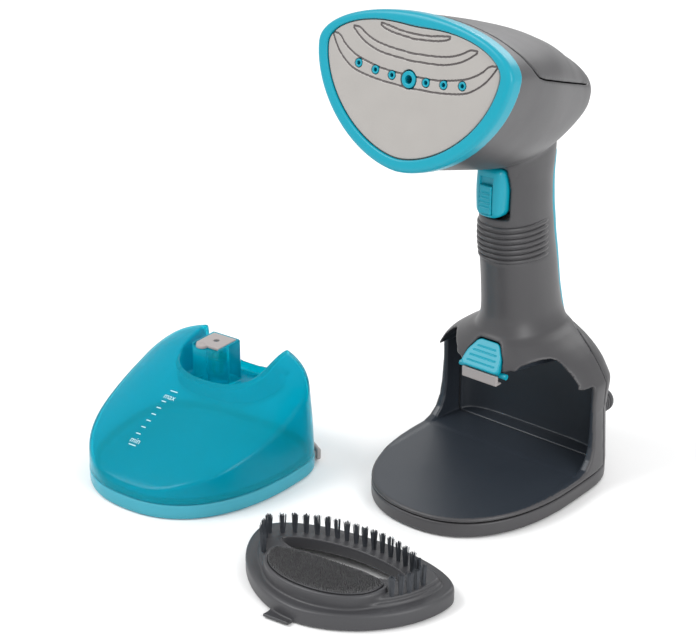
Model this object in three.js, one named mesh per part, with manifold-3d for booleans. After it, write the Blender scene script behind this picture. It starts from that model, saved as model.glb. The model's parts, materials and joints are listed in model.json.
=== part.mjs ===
// Handheld garment steamer with its water tank and its brush attachment laid out beside it.
// Millimetres, +Z up. The origin is on the floor, under the middle of the stand's footprint.
// The steam face and the tank's way out point to -Y, and X = 0 is the plane of symmetry.
import * as THREE from 'three';
import { mergeVertices } from 'three/addons/utils/BufferGeometryUtils.js';
import Module from 'manifold-3d';

const wasm = await Module();
wasm.setup();

// ---------------------------------------------------------------- driving dimensions
const GAP = 0.3;                // left between pieces that touch
const WALL = 2.2;               // moulded plastic wall
const RING_POINTS = 36;         // points round a large outer section
const INNER_POINTS = 22;        // points round a hollow that isn't seen

const FOOT_HALF_WIDTH = 55;     // stand, half its width
const FOOT_MID_Y = 19;          // where the stand is widest
const FOOT_FRONT = 80.4;        // from there to its nose
const FOOT_BACK = 50;           // from there to its back
const FOOT_FRONT_POWER = 2.33;  // how square the nose is
const FOOT_BACK_POWER = 4;      // how square the back corners are
const DECK_TOP = 12.3;          // top of the plate that the tank stands on
const PARTING_Z = 9.3;          // split between the upper shell and the bottom shell
const PARTING_Y = 50;           // split between the hood and its rear cover
const COLUMN_TOP = 60;          // cheeks end here and the hood begins
const COLUMN_TAPER = 3.4;       // the cheeks lean in by this much on their way up
const DOCK_HALF_WIDTH = 49.4;    // space between the cheeks
const DOCK_BACK_Y = 60.5;       // inner face of the back wall
const CHEEK_FRONT_Y = 38;       // front edge of the cheeks

const HEAD_PITCH = THREE.MathUtils.degToRad(12);   // the steam face looks up by this much
const HEAD_ORIGIN = new THREE.Vector3(0, -67.6, 241.5);
const FACE_HALF_WIDTH = 58.5;   // bezel ring, outside
const FACE_UP = 22.6;           // from its widest line to its top
const FACE_DOWN = 54.3;         // from its widest line to its bottom
const FACE_MID = 16.8;          // height of its widest line above the head's axis
const BEZEL_BAND = 6.4;         // width of the ring's front band
const BEZEL_DEPTH = 9;          // how far the ring reaches back

const BASE_LIFT = 0.8;          // the feet hold the bottom shell this far off the floor
const FOOT_RADIUS = 5;
const FOOT_PLACES = [[-30, -20], [30, -20], [-38, 46], [38, 46]];
const SCREW_PLACES = [[0, -48], [-42, 10], [42, 10], [0, 50]];
const STRIP_HALF_WIDTH = 12.4;  // teal strip down the back of the handle
const STRIP_PROUD = 1.4;        // it stands this far out of the handle
const STRIP_TOP = 188;
const STRIP_BOTTOM = 84;
const PAD_RADIUS = 9;            // moulded pad under the stand's middle, level with the feet
const GLAND_X = 33;
const GLAND_Z = 34;
const GLAND_RADIUS = 7;

const NOZZLES = [0, 10.3, -10.3, 20.6, -20.6, 31.3, -31.3].map((x) => [x, 7.5 + 0.0026 * x * x]);
const HEATER_LEG = 9;           // half the distance between the element's two legs
const PUMP_Y = 34;
const PUMP_Z = 112;

const TRIGGER_TOP_Z = 186.4;
const TRIGGER_BOTTOM_Z = 158.2;
const TRIGGER_PIN_Y = 12.8;
const TRIGGER_PIN_Z = 183;
const SWITCH_Z = 173;
const LATCH_PIVOT = new THREE.Vector3(0, 5.3, 69.2);
const LATCH_HALF_WIDTH = 12.4;

const TANK_PLACE = new THREE.Vector3(-134, -81.5, 0);
const TANK_TURN = THREE.MathUtils.degToRad(4.2);
const TANK_HALF_WIDTH = 60.2;
const TANK_MID_Y = 17;          // where the tank is widest
const TANK_FRONT = 82.5;        // from there to its nose
const TANK_BACK = 33.5;         // from there to its back
const TANK_BAND = 9;            // height of the tank's floor tray
const TANK_REAR_TOP = 49;       // top of its rear wall, between the horns
const NOTCH_FLOOR = 40;
const PORT_X = -8.5;            // water outlet of the tank
const PORT_Y = 27;
const PORT_TOP = 64;
const DOCK_SHIFT = 5;           // the tank stands this far back of the stand's origin when docked
const PLUG_X = 48.2;
const PLUG_Y = 42;
const PLUG_TURN = THREE.MathUtils.degToRad(-32);

const BRUSH_PLACE = new THREE.Vector3(7.6, -115, 0);
const BRUSH_TURN = THREE.MathUtils.degToRad(7.8);
const BRUSH_RIM = 9.5;          // top of the brush's skirt
const BRUSH_DECK = 13.5;        // the bristles stand on this
const PAD_DECK = 17;            // the lint pad lies on this
const BRUSH_TAB_X = -8.6;
const BRISTLE_REACH = 46;       // half the length of the long row
const BRISTLE_HEIGHT = 10.6;
const PAD_HALF_WIDTH = 32.5;
const PAD_MID_Y = -24;

const PAINT = {
  shell: [0x5c5a5c, 0.55, 0],
  dark: [0x3b3e44, 0.6, 0],
  teal: [0x16a0bb, 0.35, 0],
  tank: [0x22aecb, 0.15, 0],
  plate: [0xb9b4ae, 0.45, 0.1],
  grey: [0x9b9796, 0.6, 0],
  rubber: [0x2a2b2d, 0.85, 0],
  metal: [0xa8a9ab, 0.35, 0.9],
  brass: [0xb08d4f, 0.35, 0.9],
  board: [0x2f6b45, 0.6, 0],
};

// ---------------------------------------------------------------- solids and meshes
const root = new THREE.Group();

function paint(kind) {
  const [color, roughness, metalness] = PAINT[kind];
  return new THREE.MeshStandardMaterial({ color, roughness, metalness });
}

function signedVolume(positions, index) {
  const [a, b, c] = [new THREE.Vector3(), new THREE.Vector3(), new THREE.Vector3()];
  let volume = 0;
  for (let i = 0; i < index.length; i += 3) {
    a.fromArray(positions, index[i] * 3);
    b.fromArray(positions, index[i + 1] * 3);
    c.fromArray(positions, index[i + 2] * 3);
    volume += a.dot(b.cross(c));
  }
  return volume / 6;
}

// Skins a row of rings (each a list of Vector3) into a closed body, with a fan at both ends.
function loft(rings) {
  const count = rings[0].length;
  const positions = [];
  rings.flat().forEach((p) => positions.push(p.x, p.y, p.z));
  const index = [];
  for (let r = 0; r + 1 < rings.length; r += 1) {
    for (let i = 0; i < count; i += 1) {
      const here = r * count + i;
      const next = r * count + ((i + 1) % count);
      index.push(here, next, next + count, here, next + count, here + count);
    }
  }
  [0, rings.length - 1].forEach((r) => {
    const centre = rings[r].reduce((sum, p) => sum.add(p), new THREE.Vector3()).divideScalar(count);
    const hub = positions.length / 3;
    positions.push(centre.x, centre.y, centre.z);
    for (let i = 0; i < count; i += 1) {
      const here = r * count + i;
      const next = r * count + ((i + 1) % count);
      if (r === 0) index.push(hub, next, here);
      else index.push(hub, here, next);
    }
  });
  if (signedVolume(positions, index) < 0) {
    for (let i = 0; i < index.length; i += 3) [index[i], index[i + 1]] = [index[i + 1], index[i]];
  }
  const geometry = new THREE.BufferGeometry();
  geometry.setAttribute('position', new THREE.Float32BufferAttribute(positions, 3));
  geometry.setIndex(index);
  return geometry;
}

function solid(geometry) {
  let bare = geometry.clone();
  bare.deleteAttribute('normal');
  bare.deleteAttribute('uv');
  bare = mergeVertices(bare, 1e-4);
  const vertProperties = new Float32Array(bare.attributes.position.array);
  const triVerts = new Uint32Array(bare.index.array);
  return new wasm.Manifold(new wasm.Mesh({ numProp: 3, vertProperties, triVerts }));
}

// The largest connected piece, without specks and closed-off pockets.
function largest(manifold) {
  return manifold.decompose().reduce((best, piece) => (piece.volume() > best.volume() ? piece : best));
}

function geometryOf(manifold) {
  const { vertProperties, triVerts } = manifold.getMesh();
  const geometry = new THREE.BufferGeometry();
  geometry.setAttribute('position', new THREE.Float32BufferAttribute(vertProperties, 3));
  geometry.setIndex(Array.from(triVerts));
  return geometry;
}

function add(name, shape, kind, group = root) {
  const geometry = shape.isBufferGeometry ? shape : geometryOf(shape);
  const mesh = new THREE.Mesh(geometry, paint(kind));
  mesh.name = name;
  group.add(mesh);
  return mesh;
}

function box(x0, x1, y0, y1, z0, z1) {
  const geometry = new THREE.BoxGeometry(x1 - x0, y1 - y0, z1 - z0);
  return geometry.translate((x0 + x1) / 2, (y0 + y1) / 2, (z0 + z1) / 2);
}

// Turned body: profile is [radius, height] pairs from the axis to the axis; the axis is +Z.
function turned(profile, segments = 14) {
  return new THREE.LatheGeometry(profile.map(([r, z]) => new THREE.Vector2(r, z)), segments)
    .rotateX(Math.PI / 2);
}

function rod(radius, length, segments = 14) {
  return turned([[0, 0], [radius, 0], [radius, length], [0, length]], segments);
}

function washer(inner, outer, height, segments = 16) {
  const profile = [[inner, 0], [outer, 0], [outer, height], [inner, height], [inner, 0]];
  return turned(profile, segments);
}

function tube(points, radius, steps, sides = 8) {
  const circle = new THREE.Shape(
    Array.from({ length: sides }, (_, i) => {
      const angle = (i / sides) * 2 * Math.PI;
      return new THREE.Vector2(Math.cos(angle) * radius, Math.sin(angle) * radius);
    }),
  );
  const path = new THREE.CatmullRomCurve3(points.map((p) => new THREE.Vector3(...p)));
  return new THREE.ExtrudeGeometry(circle, { steps, extrudePath: path, bevelEnabled: false });
}

function coil(radius, wire, turns, length) {
  const points = [];
  const perTurn = 6;
  for (let i = 0; i <= turns * perTurn; i += 1) {
    const angle = (i / perTurn) * 2 * Math.PI;
    points.push([radius * Math.cos(angle), radius * Math.sin(angle), (i / (turns * perTurn)) * length]);
  }
  return tube(points, wire, turns * perTurn, 4);
}

// Side outline (y or depth, height pairs) pushed through from -halfWidth to +halfWidth along X.
function slabAcross(pairs, halfWidth) {
  const shape = new THREE.Shape(pairs.map(([y, z]) => new THREE.Vector2(y, z)));
  const geometry = new THREE.ExtrudeGeometry(shape, { depth: halfWidth * 2, bevelEnabled: false });
  geometry.translate(0, 0, -halfWidth);
  const toWorld = new THREE.Matrix4().makeBasis(
    new THREE.Vector3(0, 1, 0), new THREE.Vector3(0, 0, 1), new THREE.Vector3(1, 0, 0),
  );
  return geometry.applyMatrix4(toWorld);
}

// Egg-shaped outline: half-width a, reach up and down from its widest line, a power for each half.
function egg(a, up, down, upPower, downPower, count = RING_POINTS) {
  return Array.from({ length: count }, (_, i) => {
    const angle = (i / count) * 2 * Math.PI;
    const [c, s] = [Math.cos(angle), Math.sin(angle)];
    const power = s > 0 ? upPower : downPower;
    const reach = s > 0 ? up : down;
    const r = (Math.abs(c / a) ** power + Math.abs(s / reach) ** power) ** (-1 / power);
    return new THREE.Vector2(r * c, r * s);
  });
}

// ---------------------------------------------------------------- stand, handle and hood
// Level sections of the handle and hood: height, middle y, half-width, front, back, powers.
const HANDLE_SECTIONS = [
  [COLUMN_TOP, 42, 51.5, 41, 27, 2.0, 3.4],
  [68, 41.5, 47.8, 40, 27.2, 2.0, 3.4],
  [74, 41.2, 43.0, 38.5, 27.6, 2.0, 3.2],
  [79, 41, 36.8, 36.5, 27.6, 2.0, 3.0],
  [84, 40.6, 29, 33, 27.4, 2.1, 2.6],
  [89, 40.2, 22, 29, 27.2, 2.2, 2.3],
  [98, 39.4, 18.9, 26.2, 26.4, 2.2, 2.2],
  [109, 37.8, 18.2, 25.5, 25.2, 2.2, 2.2],
  [126, 35.0, 17.6, 25.0, 25.0, 2.2, 2.2],
  [144, 31.5, 17.0, 25.0, 25.0, 2.2, 2.2],
  [160, 30.3, 16.4, 23.8, 23.8, 2.2, 2.2],
  [174, 29.5, 16.6, 23.5, 23.5, 2.2, 2.2],
  [184, 29.5, 17.4, 26.5, 23.6, 2.2, 2.2],
  [194, 29.5, 18.6, 31.0, 22.4, 2.2, 2.2],
  [203, 29.5, 18.6, 31.0, 20.6, 2.2, 2.2],
];

function levelRing([z, y, a, front, back, frontPower, backPower], inset = 0) {
  const count = inset > 1.5 ? INNER_POINTS : RING_POINTS;
  return egg(a - inset, back - inset, front - inset, backPower, frontPower, count)
    .map((p) => new THREE.Vector3(p.x, y + p.y, z));
}

function footprintRing(z, inset = 0, taper = 0) {
  const reaches = [FOOT_HALF_WIDTH - taper, FOOT_FRONT - taper, FOOT_BACK];
  return levelRing([z, FOOT_MID_Y, ...reaches, FOOT_FRONT_POWER, FOOT_BACK_POWER], inset);
}

function handleForm(inset) {
  return solid(loft(HANDLE_SECTIONS.map((section) => levelRing(section, inset))));
}

function columnForm(inset, bottom) {
  const top = footprintRing(COLUMN_TOP + 0.01, inset, COLUMN_TAPER);
  const deck = footprintRing(DECK_TOP, inset);
  if (inset > 0) return solid(loft([footprintRing(bottom, inset), deck, top]));
  return solid(loft([footprintRing(bottom, 1.2), footprintRing(bottom + 1.5, 0), deck, top]));
}

// Lower edge of the hood seen from the front, as x, z pairs from its nose out to a cheek.
const HOOD_ARCH = [
  [0, 71], [14.5, 71.6], [16, 72.9], [20.1, 75.2], [25.2, 77.5], [29, 79], [32.5, 79.1], [35.7, 78.2],
  [38.9, 76.4], [42.3, 74.3], [44.7, 71.8], [47.3, 68.5], [49.1, 65.1], [50.6, 61], [51, COLUMN_TOP - 6],
];

// Front outline (x, z pairs) pushed through from y0 to y1.
function slabAlong(pairs, y0, y1) {
  const shape = new THREE.Shape(pairs.map(([x, z]) => new THREE.Vector2(x, z)));
  const geometry = new THREE.ExtrudeGeometry(shape, { depth: y1 - y0, bevelEnabled: false });
  return geometry.rotateX(Math.PI / 2).translate(0, y1, 0);
}

// The space that the tank slides into, open to the front. grow makes it larger on every side.
function dockSpace(grow) {
  const inner = solid(loft([DECK_TOP - grow, COLUMN_TOP - 4, COLUMN_TOP + grow].map((z, i) => {
    const half = DOCK_HALF_WIDTH + grow - [0, 0, 1.5][i];
    return egg(half, DOCK_BACK_Y + grow - 10, 120, 6, 6)
      .map((p) => new THREE.Vector3(p.x, 10 + p.y, z));
  })));
  const open = solid(slabAcross([
    [-90 - grow, DECK_TOP - grow],
    [CHEEK_FRONT_Y - 14 + grow, DECK_TOP - grow],
    [CHEEK_FRONT_Y - 4 + grow, DECK_TOP + 5],
    [CHEEK_FRONT_Y + grow, DECK_TOP + 16],
    [CHEEK_FRONT_Y + grow, COLUMN_TOP + grow],
    [-90 - grow, COLUMN_TOP + grow],
  ], 70 + grow));
  const right = HOOD_ARCH.map(([x, z]) => [x + (x > 32.5 ? grow : 0), z + grow]);
  const left = right.map(([x, z]) => [-x, z]).reverse();
  const arch = solid(slabAlong([...left.slice(0, -1), ...right], -60, CHEEK_FRONT_Y + 16));
  const besides = [58 - grow, -58 + grow].map((x) => solid(
    box(x - 12, x + 12, -40, CHEEK_FRONT_Y + grow, COLUMN_TOP - 2, 72 + grow),
  ));
  const portY = PORT_Y + DOCK_SHIFT;
  const portPocket = solid(box(
    PORT_X - 11 - grow, PORT_X + 11 + grow, portY - 11 - grow, portY + 11 + grow, COLUMN_TOP - 2, 79 + grow,
  ));
  return [open, arch, ...besides, portPocket].reduce((space, part) => space.add(part), inner);
}

// ---------------------------------------------------------------- head
// The head's own frame: x across, v up along the steam face, s back from it.
function headPoint(x, v, s) {
  const [c, n] = [Math.cos(HEAD_PITCH), Math.sin(HEAD_PITCH)];
  return new THREE.Vector3(x, HEAD_ORIGIN.y + v * n + s * c, HEAD_ORIGIN.z + v * c - s * n);
}

const head = new THREE.Group();
head.position.copy(HEAD_ORIGIN);
head.rotation.x = -HEAD_PITCH;
head.updateMatrix();
root.add(head);

// Sections of the head's housing: depth s, half-width, up, down, middle v, powers.
const HEAD_SECTIONS = [
  [BEZEL_DEPTH + GAP, 56.9, 21.4, 53.0, 16.8, 1.95, 1.82],
  [22, 54.6, 21.6, 53.2, 16.4, 2.0, 1.9],
  [42, 50.4, 21.8, 52.6, 15.2, 2.1, 2.05],
  [65, 45.0, 22.4, 50.5, 12.6, 2.3, 2.2],
  [88, 38.4, 23.0, 44.0, 8.4, 2.5, 2.4],
  [108, 32.4, 21.8, 33.0, 4.6, 2.7, 2.5],
  [122, 28.0, 18.0, 23.6, 3.4, 2.8, 2.5],
  [128.5, 24.8, 14.6, 18.4, 2.8, 2.8, 2.5],
  [131.5, 20.0, 10.6, 13.6, 2.2, 2.6, 2.4],
];

function headRing([s, a, up, down, mid, upPower, downPower], inset = 0) {
  const count = inset > 1.5 ? INNER_POINTS : RING_POINTS;
  return egg(a - inset, up - inset, down - inset, upPower, downPower, count)
    .map((p) => headPoint(p.x, mid + p.y, s));
}

function headForm(inset) {
  const sections = HEAD_SECTIONS.map((section) => [...section]);
  if (inset > 0) sections.pop();
  sections[0][0] -= inset;
  return solid(loft(sections.map((section) => headRing(section, inset))));
}

// Closed body of the steam face's outline, from [depth, inset] pairs, in the head's own frame.
function faceForm(steps) {
  return solid(loft(steps.map(([depth, inset]) => (
    egg(FACE_HALF_WIDTH - inset, FACE_UP - inset, FACE_DOWN - inset, 1.95, 1.78)
      .map((p) => new THREE.Vector3(p.x, depth, FACE_MID + p.y))
  ))));
}

// Outline of the top cover's cut, in the head's side plane.
function topCoverCut(shift) {
  const geometry = slabAcross([
    [18 + shift, 80],
    [18 + shift, 34],
    [24 + shift, 24 + shift],
    [34 + shift, 17.5 + shift],
    [42 + shift, 16 + shift],
    [116, 9 + shift],
    [123 - shift, 12 + shift],
    [125 - shift, 80],
  ], 80);
  return solid(geometry.applyMatrix4(head.matrix));
}

// Openings in the shells for the moving parts, and the seat of the teal strip.
function shellOpenings() {
  const triggerWindow = box(-9.4, 9.4, -5, 17, TRIGGER_BOTTOM_Z - 1.2, TRIGGER_TOP_Z + 1.2);
  const latchWindow = latchForm([[-7, 14.6], [1, 13.2], [8, 12.2], [13.6, 9.4], [16.8, 7.8]], () => 12);
  const pegSlot = rod(2.3, 33).rotateY(Math.PI / 2).translate(-16.5, LATCH_PIVOT.y, LATCH_PIVOT.z);
  const pinBores = rod(1.5 + GAP, 25).rotateY(Math.PI / 2).translate(-12.5, TRIGGER_PIN_Y, TRIGGER_PIN_Z);
  const probeHole = rod(3.4, 12).translate(PORT_X, PORT_Y + DOCK_SHIFT, 74);
  return [latchWindow, ...[triggerWindow, pinBores, pegSlot, probeHole, stripSeat(0)].map(solid)];
}

function stripSeat(inset) {
  return slabAcross([
    [44, STRIP_BOTTOM + inset],
    [80, STRIP_BOTTOM + inset],
    [80, STRIP_TOP - inset],
    [44, STRIP_TOP - inset],
  ], STRIP_HALF_WIDTH - inset);
}

function rearCoverCut(gap) {
  return solid(slabAcross([
    [-90, -5],
    [-90, PARTING_Z - gap],
    [PARTING_Y + gap, PARTING_Z - gap],
    [PARTING_Y + gap, 76],
    [PARTING_Y + 8 + gap, STRIP_BOTTOM - gap],
    [90, STRIP_BOTTOM - gap],
    [90, -5],
  ], 80));
}

function makeShells() {
  const outer = handleForm(0).add(columnForm(0, BASE_LIFT)).add(headForm(0)).subtract(dockSpace(0));
  const hollow = handleForm(WALL)
    .add(columnForm(WALL, BASE_LIFT + WALL))
    .subtract(dockSpace(WALL))
    .add(headForm(WALL));
  const shell = shellOpenings().reduce((body, cut) => body.subtract(cut), outer.subtract(hollow));
  add('top_cover', largest(shell.intersect(topCoverCut(GAP))), 'shell');
  add('main_shell', largest(shell.subtract(topCoverCut(0)).subtract(rearCoverCut(0))), 'shell');
  const glandHole = solid(rod(GLAND_RADIUS + GAP, 30)).rotate([-90, 0, 0]).translate([GLAND_X, 62, GLAND_Z]);
  let rear = shell.intersect(rearCoverCut(GAP)).subtract(glandHole);
  FOOT_PLACES.forEach(([x, y]) => {
    rear = rear.subtract(solid(rod(FOOT_RADIUS + GAP, 2).translate(x, y, 0)));
  });
  SCREW_PLACES.forEach(([x, y]) => {
    rear = rear.subtract(solid(rod(1.8, 6).translate(x, y, 0)));
    rear = rear.subtract(solid(rod(3.3, 1.9).translate(x, y, 0)));
  });
  rear = rear.add(solid(rod(PAD_RADIUS, BASE_LIFT + 1, 24)));
  add('rear_shell', largest(rear), 'shell');
  const strip = handleForm(-STRIP_PROUD).subtract(handleForm(WALL - STRIP_PROUD)).intersect(solid(stripSeat(GAP)));
  add('handle_strip', largest(strip), 'teal');
}

// ---------------------------------------------------------------- steam face and heater
function makeSteamFace() {
  const ringBody = faceForm([[0, 1.7], [0.5, 0.8], [1.8, 0.1], [BEZEL_DEPTH, 0]])
    .subtract(faceForm([[-1, BEZEL_BAND], [2.5, BEZEL_BAND]]))
    .subtract(faceForm([[2.4, WALL], [BEZEL_DEPTH + 1, WALL]]));
  add('bezel_ring', ringBody, 'teal', head);
  let plate = faceForm([[0.9, BEZEL_BAND + 0.5], [2.8, BEZEL_BAND + 0.5]])
    .add(faceForm([[2.7, WALL + 0.6], [4.4, WALL + 0.6]]));
  let tray = faceForm([[4.7, 8], [6.4, 8]]);
  NOZZLES.forEach(([x, v]) => {
    const wide = x === 0 ? 2 : 1;
    const place = (geometry, depth) => solid(geometry.rotateX(-Math.PI / 2).translate(x, depth, v));
    plate = plate.subtract(place(rod(2.4 * wide, 6, 12), 0));
    tray = tray.add(place(rod(2.0 * wide, 4, 12), 0.9));
    tray = tray.subtract(place(rod(1.0 * wide, 9, 8), 0));
  });
  add('face_plate', plate, 'plate', head);
  add('nozzle_tray', tray, 'teal', head);
}

function blockRing(inset, depth) {
  return egg(34 - inset, 19 - inset, 21 - inset, 3, 3, 32)
    .map((p) => new THREE.Vector3(p.x, depth, p.y));
}

function makeHeater() {
  const gasket = solid(loft([blockRing(0, 6.7), blockRing(0, 7.9)]))
    .subtract(solid(loft([blockRing(3, 6), blockRing(3, 9)])));
  add('chamber_gasket', gasket, 'rubber', head);
  let block = solid(loft([blockRing(0, 8.2), blockRing(0, 30)]))
    .subtract(solid(loft([blockRing(4, 8), blockRing(4, 14)])));
  [-HEATER_LEG, HEATER_LEG].forEach((v) => {
    block = block.subtract(solid(rod(4.6, 80, 12).rotateY(Math.PI / 2).translate(-29, 22, v)));
  });
  add('steam_chamber', block, 'metal', head);
  const bend = Array.from({ length: 7 }, (_, i) => {
    const angle = (i / 6) * Math.PI;
    return [33 + HEATER_LEG * Math.sin(angle), 22, -HEATER_LEG * Math.cos(angle)];
  });
  const lower = [-28, 0, 24].map((x) => [x, 22, -HEATER_LEG]);
  const upper = [24, 0, -28].map((x) => [x, 22, HEATER_LEG]);
  add('heating_element', tube([...lower, ...bend, ...upper], 3.6, 26, 8), 'brass', head);
  add('thermostat', rod(8, 5, 16).rotateX(-Math.PI / 2).translate(18, 30.3, 0), 'metal', head);
  add('thermal_fuse', rod(2.4, 15, 12).rotateY(Math.PI / 2).translate(-7.5, 24, 21.8), 'rubber', head);
}

// ---------------------------------------------------------------- pump, hoses and wiring
function makeWaterPath() {
  const cylinder = rod(7.3, 31, 20).translate(0, 0, -1);
  const outlet = rod(1.5, 40, 10).translate(0, 0, -1);
  const pumpBody = solid(rod(10.5, 36, 20)).subtract(solid(cylinder)).subtract(solid(outlet));
  add('pump_body', pumpBody, 'dark').position.set(0, PUMP_Y, PUMP_Z);
  add('pump_coil', washer(10.8, 14, 18), 'brass').position.set(0, PUMP_Y, PUMP_Z + 9);
  add('pump_piston', rod(6.9, 18), 'metal').position.set(0, PUMP_Y, PUMP_Z + 7);
  const probe = solid(turned([
    [1.6, 0], [2.8, 0], [3.0, 1.5], [3.0, 11.4], [6, 11.4], [6, 13],
    [2.6, 13], [2.6, 18], [1.6, 18], [1.6, 0],
  ]));
  const probeY = PORT_Y + DOCK_SHIFT;
  add('inlet_probe', probe, 'grey').position.set(PORT_X, probeY, 70.2);
  add('inlet_seal', washer(3.3, 5, 1.6), 'rubber').position.set(PORT_X, probeY, 76.6);
  add('inlet_hose', tube([
    [PORT_X, probeY, 88.5], [PORT_X, probeY, 94], [-8.85, PUMP_Y, 104], [-8.85, PUMP_Y, PUMP_Z - 0.3],
  ], 2.4, 10), 'rubber');
  const back = headPoint(-8, -10, 30.4);
  const before = headPoint(-8, -10, 42);
  add('outlet_hose', tube([
    [0, PUMP_Y, PUMP_Z + 36.3], [0, PUMP_Y + 1, 162], [-6, 36, 178], [-8, 26, 200],
    [before.x, before.y + 14, before.z - 2], before.toArray(), back.toArray(),
  ], 2.6, 20), 'rubber');
  add('circuit_board', box(-9, 9, 49.4, 51.0, 118, 141), 'board');
  add('power_lead', tube([
    [GLAND_X, 74, GLAND_Z], [GLAND_X, 67, GLAND_Z], [32.6, 64.3, 34.6], [30.5, 63.7, 39], [26, 63.8, 48],
    [22, 63.9, 58], [17, 63, 72], [10, 61, 84], [4, 57, 98], [2, 51, 110], [2, 50.2, 117.6],
  ], 0.9, 26, 6), 'rubber');
  const glandProfile = [
    [3.2, 0], [GLAND_RADIUS, 0], [GLAND_RADIUS, 11], [6.3, 13.2], [4.6, 14.4], [3.2, 14.6], [3.2, 0],
  ];
  add('cord_gland', turned(glandProfile).rotateX(-Math.PI / 2), 'dark').position.set(GLAND_X, 65.6, GLAND_Z);
}

// ---------------------------------------------------------------- trigger and its switch
function makeTrigger() {
  const levels = [
    [TRIGGER_BOTTOM_Z, 3.4, 5.0], [159.6, 6.2, 6.8], [163, 8.1, 7.7], [174, 8.7, 7.8],
    [183.5, 8.4, 7.3], [TRIGGER_TOP_Z, 7.4, 6.2],
  ];
  const middle = 9.2;
  const body = solid(loft(levels.map(([z, half, reach]) => (
    egg(half, 6.8, reach, 3.4, 3.0, 32).map((p) => new THREE.Vector3(p.x, middle + p.y, z))
  ))));
  const lockSlot = solid(box(-4, 4, -2, 3.4, 161, 181.4));
  const pinBore = solid(rod(1.9, 40, 12).rotateY(Math.PI / 2).translate(-20, TRIGGER_PIN_Y, TRIGGER_PIN_Z));
  add('steam_trigger', body.subtract(lockSlot).subtract(pinBore), 'teal');
  add('trigger_lock', box(-3.7, 3.7, 1.0, 3.1, 161.3, 177), 'teal');
  add('trigger_pin', rod(1.5, 24, 12).rotateY(Math.PI / 2), 'metal')
    .position.set(-12, TRIGGER_PIN_Y, TRIGGER_PIN_Z);
  const switchBody = solid(box(-3.4, 3.4, 19.3, 27, 164.5, 181))
    .subtract(solid(rod(1.8, 4, 12).rotateX(-Math.PI / 2).translate(0, 19, SWITCH_Z)));
  add('microswitch', switchBody, 'dark');
  add('switch_plunger', rod(1.4, 4.2, 12).rotateX(-Math.PI / 2), 'grey').position.set(0, 16.6, SWITCH_Z);
  add('switch_bracket', box(-8, 8, 27.3, 29, 157, 183), 'dark');
  add('trigger_spring', coil(2.4, 0.45, 4, 7.2).rotateX(-Math.PI / 2), 'metal').position.set(0, 19.5, 160.2);
}

// ---------------------------------------------------------------- tank latch
// Closed body along the latch's slope, from [reach up the slope, half-width] pairs.
function latchForm(steps, thickness) {
  const along = new THREE.Vector3(0, 0.838, 0.546);
  const out = new THREE.Vector3(0, -0.546, 0.838);
  const start = new THREE.Vector3(0, 3.0, 71.6);
  return solid(loft(steps.map(([reach, half]) => {
    const thick = thickness(reach);
    return egg(half, thick, thick, 3, 3, 20)
      .map((p) => start.clone().addScaledVector(along, reach).addScaledVector(out, p.y).setX(p.x));
  })));
}

function makeLatch() {
  const thickness = (reach) => (reach < 0.5 || reach > 15 ? 1.2 : 2);
  const button = latchForm([[0, 11.4], [1, LATCH_HALF_WIDTH], [8, 11.4], [13.6, 8.6], [16, 7]], thickness);
  const { y, z } = LATCH_PIVOT;
  const bore = () => solid(rod(1.95, 40, 12).rotateY(Math.PI / 2).translate(-20, y, z));
  add('latch_button', button.subtract(bore()), 'teal');
  const hook = solid(slabAcross([
    [1.3, 63.4], [6.4, 63.4], [6.4, 64.6], [3.3, 65.8], [3.3, 69.3], [1.3, 69.8],
  ], LATCH_HALF_WIDTH - 0.6));
  add('latch_hook', hook.subtract(bore()), 'grey');
  add('latch_pin', rod(1.6, 31, 12).rotateY(Math.PI / 2), 'teal').position.set(-15.5, y, z);
  add('latch_spring', slabAcross([[11.6, 73.1], [18.2, 73.5], [18.2, 74], [11.6, 73.6]], 4), 'metal');
}

// ---------------------------------------------------------------- feet and screws
function makeFixings() {
  FOOT_PLACES.forEach(([x, y], i) => add(`rubber_foot_${i + 1}`, rod(FOOT_RADIUS, 1.7, 16), 'rubber')
    .position.set(x, y, 0));
  const screw = [[0, 0.9], [3, 0.9], [3, 1.6], [1.4, 1.6], [1.4, 8.6], [0, 9.2]];
  SCREW_PLACES.forEach(([x, y], i) => add(`base_screw_${i + 1}`, turned(screw, 12), 'metal')
    .position.set(x, y, 0));
}

// ---------------------------------------------------------------- water tank
const tank = new THREE.Group();
tank.position.copy(TANK_PLACE);
tank.rotation.z = TANK_TURN;
root.add(tank);

function tankRing(z, inset, points = 32) {
  return egg(TANK_HALF_WIDTH - inset, TANK_BACK - inset, TANK_FRONT - inset, 2.7, 2.33, points)
    .map((p) => new THREE.Vector3(p.x, TANK_MID_Y + p.y, z));
}

// The tank's sloping roof: a ridge height for each distance back from the nose, crowned across X.
const TANK_RIDGE = [
  [-72, 4], [-66.5, 10.5], [-63, 16], [-55, 21.2], [-36, 31], [-12, 43], [10, 54.5], [30, 63.4],
  [40, 65.6], [56, 66],
];

function tankForm(inset) {
  const walls = solid(loft([
    tankRing(TANK_BAND + GAP, 0.4 + inset), tankRing(30, 1.2 + inset), tankRing(70, 4.2 + inset),
  ]));
  const roof = solid(loft(TANK_RIDGE.map(([y, height]) => (
    egg(75, height - inset, 20, 2.7, 2, 28).map((p) => new THREE.Vector3(p.x, y, p.y))
  ))));
  return walls.intersect(roof).subtract(tankNotch(inset));
}

// Room for the hood's nose: a floor inside the tank's rear wall, open to the back above that wall.
function tankNotch(grow) {
  const plan = (back, z) => egg(29 + grow, back + grow, 22.5 + grow, 4, 2.6, 32)
    .map((p) => new THREE.Vector3(p.x, 28 + p.y, z));
  const low = solid(loft([plan(19.5, NOTCH_FLOOR - grow), plan(19.5, TANK_REAR_TOP + 0.1)]));
  return low.add(solid(loft([plan(60, TANK_REAR_TOP - grow), plan(60, 90)])));
}

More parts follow.
